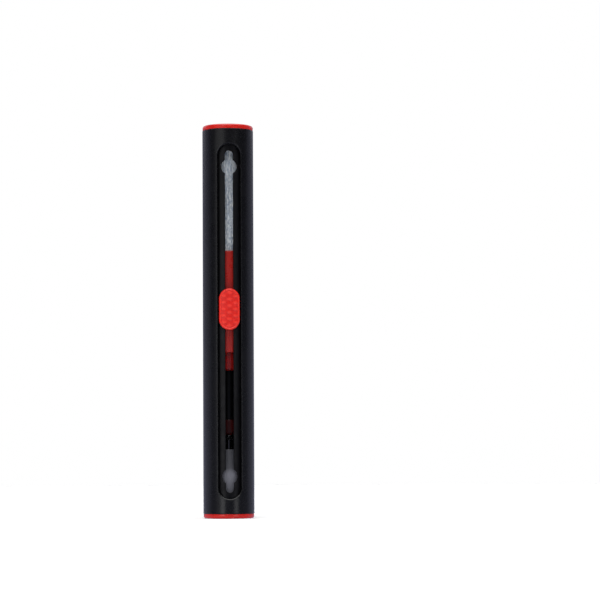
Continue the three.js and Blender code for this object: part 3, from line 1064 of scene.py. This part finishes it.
@dataclass
class ThumbButton:
    """The red button: a pad with a rounded rim and a moulded grip, its neck and its pin."""

    underside_gap: float = 0.65 * MM  # track tube to the pad
    rim_round: float = 0.42 * MM
    rim_width: float = 0.05 * MM
    dish: float = 0.12 * MM
    dish_width: float = 0.16 * MM
    neck_half: float = 1.15 * MM
    neck_length: float = 9.8 * MM
    neck_gap: float = 0.05 * MM  # stud to the neck
    neck_sink: float = 0.4 * MM  # the neck's end below the pad's top
    pin_radius: float = 0.9 * MM
    scale_pitch: float = 2.16 * MM  # along the pen
    column_pitch: float = 1.95 * MM
    scale_half_width: float = 0.98 * MM
    scale_half_height: float = 0.56 * MM
    scale_rise: float = 0.1 * MM
    mesh_step: float = 0.11 * MM
    crease: float = 50.0  # degrees, so that the grip stays smooth

    def scales(self, x: float, rise: float) -> float:
        """Height of the moulded grip at a point of the pad.

        Args:
            x: distance from the mid line.
            rise: height above the pad's centre.

        Returns:
            Height above the pad's face.
        """
        best = 0.0
        for column in (-1, 0, 1):
            shift = self.scale_pitch / 2 if column == 0 else 0.0
            across = (x - column * self.column_pitch) / self.scale_half_width
            row = (rise - shift) / self.scale_pitch
            along = (row - round(row)) * self.scale_pitch / self.scale_half_height
            best = max(best, 1.0 - across * across - along * along)
        return self.scale_rise * best ** 0.75 if best > 0 else 0.0

    def face(self, x: float, z: float, inset: float, top: float, middle: float) -> float:
        """Radius of the pad's face at a point.

        Args:
            x: distance from the mid line.
            z: height.
            inset: distance in from the pad's outline.
            top: radius of the pad's highest ring.
            middle: height of the pad's centre.

        Returns:
            The radius.
        """
        if inset < self.rim_round:
            lean = self.rim_round - inset
            return top - self.rim_round + math.sqrt(self.rim_round**2 - lean**2)
        past = (inset - self.rim_round - self.rim_width) / self.dish_width
        sunk = self.dish * min(1.0, max(0.0, past))
        share = min(1.0, max(0.0, past - 0.5))
        return top - sunk + share * min(self.scales(x, z - middle), self.dish)

    def pad(self) -> Piece:
        """The pad as a closed mesh of nested outlines, shrinking to its mid line.

        Returns:
            The pad, without its neck and pin.
        """
        low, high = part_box("thumb_button")
        half = high.x
        middle = (low.z + high.z) / 2
        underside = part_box("track_tube")[1].x + self.underside_gap
        outline = Slot(half, low.z, high.z, side_step=self.mesh_step, arc_steps=22)
        spokes = outline.loop()
        vertices: list[tuple[float, float, float]] = []
        loops: list[list[int]] = []

        def add_loop(inset: float, radius: Callable[[float, float], float]) -> None:
            """Add the outline shrunk by an inset.

            Args:
                inset: distance in from the pad's outline.
                radius: the surface's radius, from x and height.
            """
            loop = []
            for spoke in spokes:
                x, z = spoke.at(-inset)
                r = radius(x, z)
                loop.append(len(vertices))
                vertices.append((x, -math.sqrt(r * r - x * x), z))
            loops.append(loop)

        for inset in arc(half, 0.0, 6):
            add_loop(inset, lambda x, z: underside)
        rim = [self.rim_round * (1 - math.cos(a)) for a in arc(0.0, math.pi / 2, 6)]
        steps = round((half - self.rim_round) / self.mesh_step)
        for inset in rim + arc(self.rim_round, half, steps)[1:]:
            add_loop(inset, lambda x, z, d=inset: self.face(x, z, d, -low.y, middle))
        faces: list[tuple[int, ...]] = []
        for one, two in zip(loops, loops[1:]):
            faces += band(one, two)
        return mesh_object("button", vertices, faces, self.crease)

    def build(self) -> None:
        """Build the button, with its neck and pin, and dress it."""
        low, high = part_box("thumb_button")
        middle = (low.z + high.z) / 2
        inside = -low.y - self.neck_sink
        neck_underside = -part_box("lock_spring")[0].y + self.neck_gap
        reach = self.neck_length / 2
        neck = Slot(self.neck_half, middle - reach, middle + reach)
        pin = Slot(self.pin_radius, middle - 1.001 * self.pin_radius,
                   middle + 1.001 * self.pin_radius)
        button = self.pad()
        button = combine(button, post("neck", neck, neck_underside, inside),
                         "UNION", self.crease)
        button = combine(button, post("pin", pin, -high.y, neck_underside + MM),
                         "UNION", self.crease)
        install(button, Body.BUTTON, BUTTON_ABS, "thumb_button")
        dress("button_clip", SPRING_STEEL)


@dataclass
class LockSpring:
    """The arched leaf under the button, with the stud that stands in a lock hole."""

    width: float = 4.8 * MM
    thickness: float = 0.25 * MM
    clearance: float = 0.1 * MM  # radial, to the track tube's bore
    stud_radius: float = 2.35 * MM
    pin_radius: float = 1.0 * MM
    give: float = 0.53 * MM  # how far the stud sinks when the button is pressed
    steps: int = 28

    def leaf(self, middle: float, length: float, foot: float, crown: float) -> Piece:
        """The arched strip.

        Args:
            middle: height of its centre.
            length: its length along the pen.
            foot: distance of its ends' inner face from the axis.
            crown: distance of its middle's inner face.

        Returns:
            The strip.
        """
        rows = []
        vertices = []
        for along in arc(-length / 2, length / 2, self.steps):
            lift = 0.5 + 0.5 * math.cos(2 * math.pi * along / length)
            inner = foot + (crown - foot) * lift
            row = []
            for x, y in ((-1, 0), (1, 0), (1, 1), (-1, 1)):
                row.append(len(vertices))
                point = (x * self.width / 2, -inner - y * self.thickness, middle + along)
                vertices.append(point)
            rows.append(row)
        faces: list[tuple[int, ...]] = [tuple(rows[0]), tuple(rows[-1])]
        for one, two in zip(rows, rows[1:]):
            faces += band(one, two)
        return mesh_object("spring", vertices, faces)

    def cup(
        self, radius: float, foot: float, top: float, rounding: float, z: float
    ) -> Piece:
        """A round stud or hollow that stands forward from the axis.

        Args:
            radius: its radius.
            foot: distance of its foot from the axis.
            top: distance of its top.
            rounding: rounding of its top edge.
            z: its height on the pen.

        Returns:
            The stud.
        """
        corners = [(0.0, foot, 0.0), (radius, foot, 0.0), (radius, top, rounding), (0.0, top, 0.0)]
        made = revolve("stud", softened(corners, 6), 64)
        for vertex in made.data.vertices:
            x, y, rise = vertex.co
            vertex.co = (x, -rise, z + y)
        smooth(made)
        return made

    def build(self) -> None:
        """Build the spring and dress it."""
        low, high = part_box("lock_spring")
        middle = (low.z + high.z) / 2
        foot, top = -high.y, -low.y
        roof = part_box("track_tube")[1].x - Barrel.track_wall - self.clearance
        crown = math.sqrt(roof**2 - (self.width / 2) ** 2) - self.thickness
        spring = self.leaf(middle, high.z - low.z, foot, crown)
        stud = self.cup(self.stud_radius, crown + self.thickness / 2, top, 0.4 * MM, middle)
        spring = combine(spring, stud, "UNION")
        hollow = self.cup(self.stud_radius - self.thickness, foot, roof, 0.2 * MM, middle)
        spring = combine(spring, hollow, "DIFFERENCE")
        hole = self.cup(self.pin_radius, foot, top + MM, 0.0, middle)
        spring = combine(spring, hole, "DIFFERENCE")
        install(spring, Body.SHUTTLE, SPRING_STEEL, "lock_spring")
        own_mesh(spring)


# ---- Carrier and brush ----


@dataclass
class Carrier:
    """The red moulding that carries the brush above and the cleaning tip below."""

    cup_wall: float = 0.85 * MM
    cup_depth: float = 10.0 * MM
    socket_cover: float = 1.45 * MM
    socket_depth: float = 5.9 * MM
    pocket_gap: float = 0.3 * MM
    pocket_depth: float = 2.75 * MM
    edge: float = 0.35 * MM

    def build(self) -> None:
        """Build the carrier, cut its pocket and dress it."""
        low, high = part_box("carrier")
        radius = high.x
        cup, socket = radius - self.cup_wall, radius - self.socket_cover
        corners = [
            (0.0, low.z + self.socket_depth, 0.0),
            (socket, low.z + self.socket_depth, 0.0),
            (socket, low.z, 0.12 * MM),
            (radius, low.z, self.edge),
            (radius, high.z, self.edge),
            (cup, high.z, 0.2 * MM),
            (cup, high.z - self.cup_depth, 0.3 * MM),
            (0.0, high.z - self.cup_depth, 0.0),
        ]
        body = revolve("carrier_body", softened(corners), 96)
        leaf_low, leaf_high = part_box("lock_spring")
        gap = self.pocket_gap
        pocket = block(
            "pocket",
            (leaf_low.x - gap, -2 * radius, leaf_low.z - gap),
            (leaf_high.x + gap, -(radius - self.pocket_depth), leaf_high.z + gap),
        )
        body = combine(body, pocket, "DIFFERENCE")
        install(body, Body.SHUTTLE, CARRIER_ABS, "carrier")


@dataclass
class Brush:
    """The brush: a metal ferrule, a resin plug and the hair."""

    strands: int = 2300
    strand_radius: float = 0.085 * MM
    strand_tip: float = 0.03 * MM
    strand_steps: int = 11
    ferrule_wall: float = 0.4 * MM
    neck_gap: float = 0.2 * MM  # inside the ferrule's outer face, at the carrier's rim
    swell: float = 5.2 * MM
    dome: float = 5.0 * MM
    dome_share: float = 0.985  # how far round the dome the outermost strand stands
    ragged: float = 1.0 * MM
    wave: float = 0.22 * MM
    waves: tuple[float, float] = (1.2, 4.0)  # least and most along a strand
    twist: float = 0.05  # radians
    root_gap: float = 0.2 * MM
    clearance: float = 0.02 * MM  # inside the CAD bundle
    shoulder: float = 0.1 * MM
    core_share: float = 0.8
    core_dome: float = 5.75 * MM
    core_rise: float = 3.0 * MM
    core_steps: int = 14
    seed: int = 11

    def ferrule(self) -> None:
        """The drawn tube, with a rolled lip and a crimped groove."""
        low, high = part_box("brush_ferrule")
        outer, bore = high.x, high.x - self.ferrule_wall
        groove = (low.z + high.z) / 2
        corners = [
            (bore, low.z, 0.05 * MM),
            (outer, low.z, 0.15 * MM),
            (outer, groove - 0.6 * MM, 0.2 * MM),
            (outer - 0.2 * MM, groove, 0.2 * MM),
            (outer, groove + 0.6 * MM, 0.2 * MM),
            (outer, high.z, 0.16 * MM),
            (bore, high.z, 0.16 * MM),
        ]
        tube = revolve("ferrule", softened(corners), 96)
        install(tube, Body.SHUTTLE, FERRULE_ALUMINIUM, "brush_ferrule")
        dress("brush_plug", PLUG_EPOXY)

    def profile(self) -> tuple[list[float], list[float]]:
        """The bundle's radius by height: straight in the ferrule, then swelling.

        Returns:
            The heights from the roots up, and the radius at each.
        """
        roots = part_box("brush_hair")[0].z
        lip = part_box("carrier")[1].z
        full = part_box("brush_hair")[1].x - self.strand_radius - self.clearance
        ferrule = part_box("brush_ferrule")[1].x
        root, neck = ferrule - self.ferrule_wall - self.root_gap, ferrule - self.neck_gap
        heights = [roots, lip - MM, lip, lip + self.swell / 2, lip + self.swell]
        return heights, [root, root, neck, (neck + full) / 2 + self.shoulder, full]

    def strand_rows(self) -> np.ndarray:
        """The corners of every strand, from its root to its tip.

        Returns:
            Points by strand, row and axis, three to a step.
        """
        low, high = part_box("brush_hair")
        profile = self.profile()
        rng = np.random.default_rng(self.seed)
        number = np.arange(self.strands)
        share = np.sqrt((number + 0.5) / self.strands)
        turn = number * GOLDEN_ANGLE
        top = high.z - self.dome * (1 - np.sqrt(1 - (share * self.dome_share) ** 2))
        top -= rng.uniform(0, self.ragged, self.strands) * (0.3 + share)
        phase = rng.uniform(0, 2 * math.pi, (2, self.strands))
        cycles = rng.uniform(*self.waves, self.strands)
        lean = rng.normal(0, self.twist, self.strands)
        rows = []
        for step in range(self.strand_steps + 1):
            along = step / self.strand_steps
            z = low.z + (top - low.z) * along
            full = np.interp(z, *profile)
            sway = self.wave * along * np.sin(2 * math.pi * cycles * along + phase)
            around = turn + lean * along
            x = share * full * np.cos(around) + sway[0]
            y = share * full * np.sin(around) + sway[1]
            held = np.minimum(1.0, full / np.maximum(np.hypot(x, y), 1e-9))
            thick = self.strand_radius + (self.strand_tip - self.strand_radius) * along**2
            for corner in range(3):
                angle = turn + 2 * math.pi * corner / 3
                across = (x * held + thick * np.cos(angle), y * held + thick * np.sin(angle))
                rows.append(np.stack([*across, z], axis=1))
        return np.stack(rows, axis=1)

    def hair(self) -> None:
        """The strands as one mesh, each a closed three-sided spike."""
        points = self.strand_rows()
        count = points.shape[1]
        faces: list[tuple[int, ...]] = []
        for first in range(0, self.strands * count, count):
            last = first + count - 3
            faces += [(first, first + 1, first + 2), (last + 2, last + 1, last)]
            for step in range(first, last, 3):
                faces += band(range(step, step + 3), range(step + 3, step + 6))
        mesh = bpy.data.meshes.new("hair")
        mesh.from_pydata(points.reshape(-1, 3).tolist(), [], faces)
        mesh.shade_smooth()
        install(linked("hair", mesh), Body.SHUTTLE, HAIR_FIBRE, "brush_hair")

    def core(self) -> None:
        """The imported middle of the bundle, under the strands."""
        low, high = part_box("brush_hair")
        top = high.z - self.core_dome
        heights = np.linspace(low.z, top, self.core_steps)
        radii = self.core_share * np.interp(heights, *self.profile())
        outline = [(0.0, low.z), *zip(radii.tolist(), heights.tolist())]
        for angle in arc(0.0, math.pi / 2, 6)[1:-1]:
            rise = self.core_rise * math.sin(angle)
            outline.append((float(radii[-1]) * math.cos(angle), top + rise))
        outline.append((0.0, top + self.core_rise))
        install(revolve("hair_core", outline, 48), Body.SHUTTLE, SHADED_HAIR_CORE)

    def build(self) -> None:
        """Build and dress the brush."""
        self.ferrule()
        self.hair()
        self.core()


# ---- Cleaning tip ----


@dataclass
class CleaningTip:
    """Socket, shaft, collar, stem and head, with the chamois pad over its foam core."""

    fit: float = 0.1 * MM
    spigot_step: float = 1.1 * MM
    spigot_length: float = 2.8 * MM
    recess: float = 3.0 * MM
    head_wall: float = 0.9 * MM
    head_taper: float = 1.9 * MM
    head_cone: float = 8.0 * MM
    head_waist: float = 0.22 * MM
    waist_height: float = 3.4 * MM
    head_foot: float = 0.1 * MM
    stem_grip: float = 2.3 * MM
    stem_radius: float = 1.5 * MM
    collar_chamfer: float = 0.8 * MM
    flare_length: float = 1.6 * MM
    pad_skin: float = 0.5 * MM
    pad_crown: float = 1.2 * MM
    pad_sides: int = 120
    pad_ripple: float = 0.018 * MM
    pad_squeeze: float = 0.004  # share of the radius that its folds take up
    seed: int = 5

    def socket(self) -> list[Point]:
        """The deep red neck that grips the shaft.

        Returns:
            Its outline.
        """
        low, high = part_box("tip_socket")
        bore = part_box("tip_shaft")[1].x + self.fit
        return softened([
            (bore, low.z, 0.15 * MM),
            (high.x, low.z, 0.9 * MM),
            (high.x, high.z, 0.1 * MM),
            (bore, high.z, 0.1 * MM),
        ])

    def shaft(self) -> list[Point]:
        """The black rod, stepped down where the collar holds it.

        Returns:
            Its outline.
        """
        low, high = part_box("tip_shaft")
        shoulder, spigot = low.z + self.spigot_length, high.x - self.spigot_step
        return softened([
            (0.0, low.z, 0.0),
            (spigot, low.z, 0.2 * MM),
            (spigot, shoulder, 0.0),
            (high.x, shoulder, 0.2 * MM),
            (high.x, high.z, 0.3 * MM),
            (0.0, high.z, 0.0),
        ])

    def collar(self) -> list[Point]:
        """The dark red collar, with a broad chamfer towards the stem.

        Returns:
            Its outline.
        """
        low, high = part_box("tip_collar")
        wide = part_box("tip_shaft")[1].x - self.spigot_step + self.fit
        narrow, step = self.stem_radius + self.fit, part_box("tip_stem")[1].z + self.fit
        return softened([
            (narrow, low.z, 0.0),
            (high.x - self.collar_chamfer, low.z, 0.15 * MM),
            (high.x, low.z + self.collar_chamfer, 0.25 * MM),
            (high.x, high.z, 0.25 * MM),
            (wide, high.z, 0.0),
            (wide, step, 0.0),
            (narrow, step, 0.0),
        ])

    def stem(self) -> list[Point]:
        """The polished stem, flared against the collar.

        Returns:
            Its outline.
        """
        low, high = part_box("tip_stem")
        flare_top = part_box("tip_collar")[0].z - self.fit
        return softened([
            (0.0, low.z, 0.0),
            (self.stem_radius, low.z, 0.2 * MM),
            (self.stem_radius, flare_top - self.flare_length, 0.8 * MM),
            (high.x, flare_top, 0.08 * MM),
            (self.stem_radius, flare_top, 0.0),
            (self.stem_radius, high.z, 0.2 * MM),
            (0.0, high.z, 0.0),
        ])

    def head(self) -> list[Point]:
        """The grey head: a cone, a slight waist, and a recess for the pad.

        Returns:
            Its outline.
        """
        low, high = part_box("tip_head")
        recess, roof = high.x - self.head_wall, low.z + self.recess
        bore, floor = self.stem_radius + self.fit, high.z - self.stem_grip - self.fit
        return softened([
            (0.0, roof, 0.0),
            (recess, roof, 0.1 * MM),
            (recess, low.z, 0.25 * MM),
            (high.x - self.head_foot, low.z, 0.5 * MM),
            (high.x - self.head_waist, low.z + self.waist_height, 8.0 * MM),
            (high.x, high.z - self.head_cone, 9.0 * MM),
            (high.x - self.head_taper, high.z, 0.35 * MM),
            (bore, high.z, 0.2 * MM),
            (bore, floor, 0.0),
            (0.0, floor, 0.0),
        ], 6)

    def pad(self) -> None:
        """The chamois cap: a crowned face and a skirt tucked into the head, a little uneven."""
        low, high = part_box("tip_pad")
        outer = high.x
        inner = outer - self.pad_skin
        outline: list[Point] = []
        for angle in arc(0.0, math.pi / 2, 18):
            outline.append((outer * math.sin(angle),
                            low.z + self.pad_crown * (1 - math.cos(angle) ** 1.3)))
        outline += [(outer, z) for z in arc(low.z + self.pad_crown, high.z, 10)[1:]]
        outline += [(inner, high.z)]
        for angle in arc(math.pi / 2, 0.0, 10):
            outline.append((inner * math.sin(angle),
                            low.z + self.pad_skin + self.pad_crown * (1 - math.cos(angle))))
        made = revolve("pad", outline, self.pad_sides)
        rng = np.random.default_rng(self.seed)
        waves = rng.uniform(0, 2 * math.pi, 4)
        for vertex in made.data.vertices:
            x, y, z = vertex.co
            if math.hypot(x, y) > inner + 0.1 * MM or z < low.z + 0.9 * self.pad_skin:
                around = math.atan2(y, x)
                ripple = sum(math.sin(k * around + w) for k, w in zip((3, 5, 8, 13), waves))
                vertex.co.z += self.pad_ripple * ripple * min(1.0, math.hypot(x, y) / inner)
                squeeze = 1 - self.pad_squeeze * (1 + math.sin(7 * around + waves[1]))
                vertex.co.x, vertex.co.y = x * squeeze, y * squeeze
        install(made, Body.SHUTTLE, PAD_CHAMOIS, "tip_pad")

    def foam(self) -> None:
        """The foam core that backs the pad."""
        low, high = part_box("tip_foam")
        outline: list[Point] = []
        for angle in arc(0.0, math.pi / 2, 10):
            outline.append((high.x * math.sin(angle),
                            low.z + self.pad_crown * (1 - math.cos(angle))))
        outline += [(high.x, high.z - 0.3 * MM), (high.x - 0.2 * MM, high.z), (0.0, high.z)]
        made = revolve("foam_core", outline, 72)
        install(made, Body.SHUTTLE, CORE_FOAM, "tip_foam")

    def build(self) -> None:
        """Build and dress the whole tip."""
        turned = (
            ("socket", self.socket(), 96, SOCKET_ACETAL),
            ("shaft", self.shaft(), 80, SHAFT_ACETAL),
            ("collar", self.collar(), 80, COLLAR_PLASTIC),
            ("stem", self.stem(), 64, STEM_PLASTIC),
            ("head", self.head(), 112, HEAD_ELASTOMER),
        )
        for name, outline, sides, finish in turned:
            install(revolve(name, outline, sides), Body.SHUTTLE, finish, "tip_" + name)
        self.pad()
        self.foam()


# ---- Studio ----


@dataclass(frozen=True)
class Softbox:
    """A rectangular light that faces the pen's middle."""

    name: str
    azimuth: float  # degrees, 0 in front of the button, positive to the right
    elevation: float
    distance: float
    width: float
    height: float
    radiance: float
    colour: str = "#ffffff"

    def build(self, aim: Vector) -> None:
        """Make the light.

        Args:
            aim: the point it faces.
        """
        light = bpy.data.lights.new(self.name, "AREA")
        light.shape = "RECTANGLE"
        light.size, light.size_y = self.width, self.height
        light.energy = self.radiance * math.pi * self.width * self.height
        light.color = linear(self.colour)[:3]
        made = linked(self.name, light)
        turn, rise = math.radians(self.azimuth), math.radians(self.elevation)
        away = Vector((math.sin(turn) * math.cos(rise), -math.cos(turn) * math.cos(rise),
                       math.sin(rise)))
        made.location = aim + away * self.distance
        made.rotation_mode = "QUATERNION"
        made.rotation_quaternion = away.to_track_quat("Z", "Y")
        made.visible_camera = False


@dataclass
class Studio:
    """A white sweep, a soft even room, and a long lens level with the pen's foot."""

    floor_radius: float = 0.7
    camera_place: tuple[float, float, float] = (-0.04075, -0.81085, 0.02354)
    camera_aim: tuple[float, float, float] = (0.02379, 0.0, 0.07184)
    camera_roll: float = -0.297  # degrees
    lens: float = 147.6
    backdrop: float = 1.0
    ambient: float = 0.28
    mirrored_front: float = 0.05
    mirrored_back: float = 0.33
    mirrored_low: float = 0.26
    depth_span: tuple[float, float] = (-0.1, 0.22)  # directions, front to back
    sunk_span: tuple[float, float] = (-0.06, 0.06)  # directions, from below the level up
    boxes: tuple[Softbox, ...] = (
        Softbox("left_strip", -40, 12, 1.5, 1.15, 0.9, 0.42),
        Softbox("left_low", -31, -3, 1.5, 0.50, 0.24, 1.75),
        Softbox("right_low", 31, -3, 1.6, 0.44, 0.24, 1.95),
        Softbox("key", -10, 52, 1.6, 1.1, 0.9, 2.8),
        Softbox("overhead", 0, 88, 1.8, 2.2, 2.2, 2.5),
        Softbox("back_left", -140, 25, 1.8, 0.9, 0.9, 0.8),
        Softbox("back_right", 140, 25, 1.8, 0.9, 0.9, 0.8),
    )

    def floor(self) -> None:
        """The pale floor that the pen stands on."""
        mesh = bpy.data.meshes.new("floor")
        rim = [(self.floor_radius * math.cos(a), self.floor_radius * math.sin(a), 0.0)
               for a in arc(0.0, 2 * math.pi, 96)[:-1]]
        mesh.from_pydata(rim, [], [tuple(range(len(rim)))])
        sweep = linked("floor", mesh)
        paper = bpy.data.materials.new("white_paper")
        paper.use_nodes = True
        shader = paper.node_tree.nodes["Principled BSDF"]
        shader.inputs["Base Color"].default_value = linear("#fbfbfb")
        shader.inputs["Roughness"].default_value = 0.9
        mesh.materials.append(paper)
        sweep.visible_glossy = False
        sweep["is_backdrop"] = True

    def room(self) -> None:
        """White behind the pen, and a dimmer, slightly cool room for it to reflect."""
        world = bpy.data.worlds.new("room")
        world.use_nodes = True
        tree = world.node_tree
        tree.nodes.clear()
        path = add_node(tree, "LightPath")
        white, cool = linear("#ffffff"), linear("#dde0ff")
        soft = add_node(tree, "Background", {"Color": white, "Strength": self.ambient})
        seen = add_node(tree, "Background", {"Color": white, "Strength": self.backdrop})
        where = add_node(tree, "TexCoord").outputs["Generated"]
        axes = add_node(tree, "SeparateXYZ", links={0: where})
        ramps = []
        for axis, span, ends in (
            ("Y", self.depth_span, (self.mirrored_front, self.mirrored_back)),
            ("Z", self.sunk_span, (self.mirrored_low, 0.0)),
        ):
            values = {"From Min": span[0], "From Max": span[1],
                      "To Min": ends[0], "To Max": ends[1]}
            ramp = add_node(tree, "MapRange", values, {"Value": axes.outputs[axis]})
            ramps.append(ramp.outputs["Result"])
        level = add_node(tree, "Math", {"operation": "ADD"}, {0: ramps[0], 1: ramps[1]})
        glossy = add_node(tree, "Background", {"Color": cool}, {"Strength": level.outputs[0]})
        first = add_node(tree, "MixShader", links={
            0: path.outputs["Is Glossy Ray"], 1: soft.outputs[0], 2: glossy.outputs[0]})
        both = add_node(tree, "MixShader", links={
            0: path.outputs["Is Camera Ray"], 1: first.outputs[0], 2: seen.outputs[0]})
        add_node(tree, "OutputWorld", links={"Surface": both.outputs[0]})
        bpy.context.scene.world = world

    def camera(self) -> None:
        """The camera."""
        data = bpy.data.cameras.new("camera")
        data.lens, data.sensor_width = self.lens, 36.0
        data.clip_start, data.clip_end = 0.05, 50.0
        made = linked("camera", data)
        place, aim = Vector(self.camera_place), Vector(self.camera_aim)
        made.location = place
        made.rotation_mode = "QUATERNION"
        facing = (aim - place).to_track_quat("-Z", "Y")
        made.rotation_quaternion = facing @ Quaternion((0, 0, 1), math.radians(self.camera_roll))
        bpy.context.scene.camera = made

    def build(self) -> None:
        """Set the studio up."""
        self.floor()
        self.room()
        self.camera()
        low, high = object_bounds()
        for box in self.boxes:
            box.build((low + high) / 2)
        view = bpy.context.scene.view_settings
        view.view_transform = "Standard"
        view.look = "None"


def main() -> None:
    """Build the pen and its studio in order."""
    logging.basicConfig(level=logging.INFO, format="%(message)s")
    Studio().build()
    Barrel().build()
    ThumbButton().build()
    LockSpring().build()
    Carrier().build()
    Brush().build()
    CleaningTip().build()


if __name__ == "__main__":
    main()
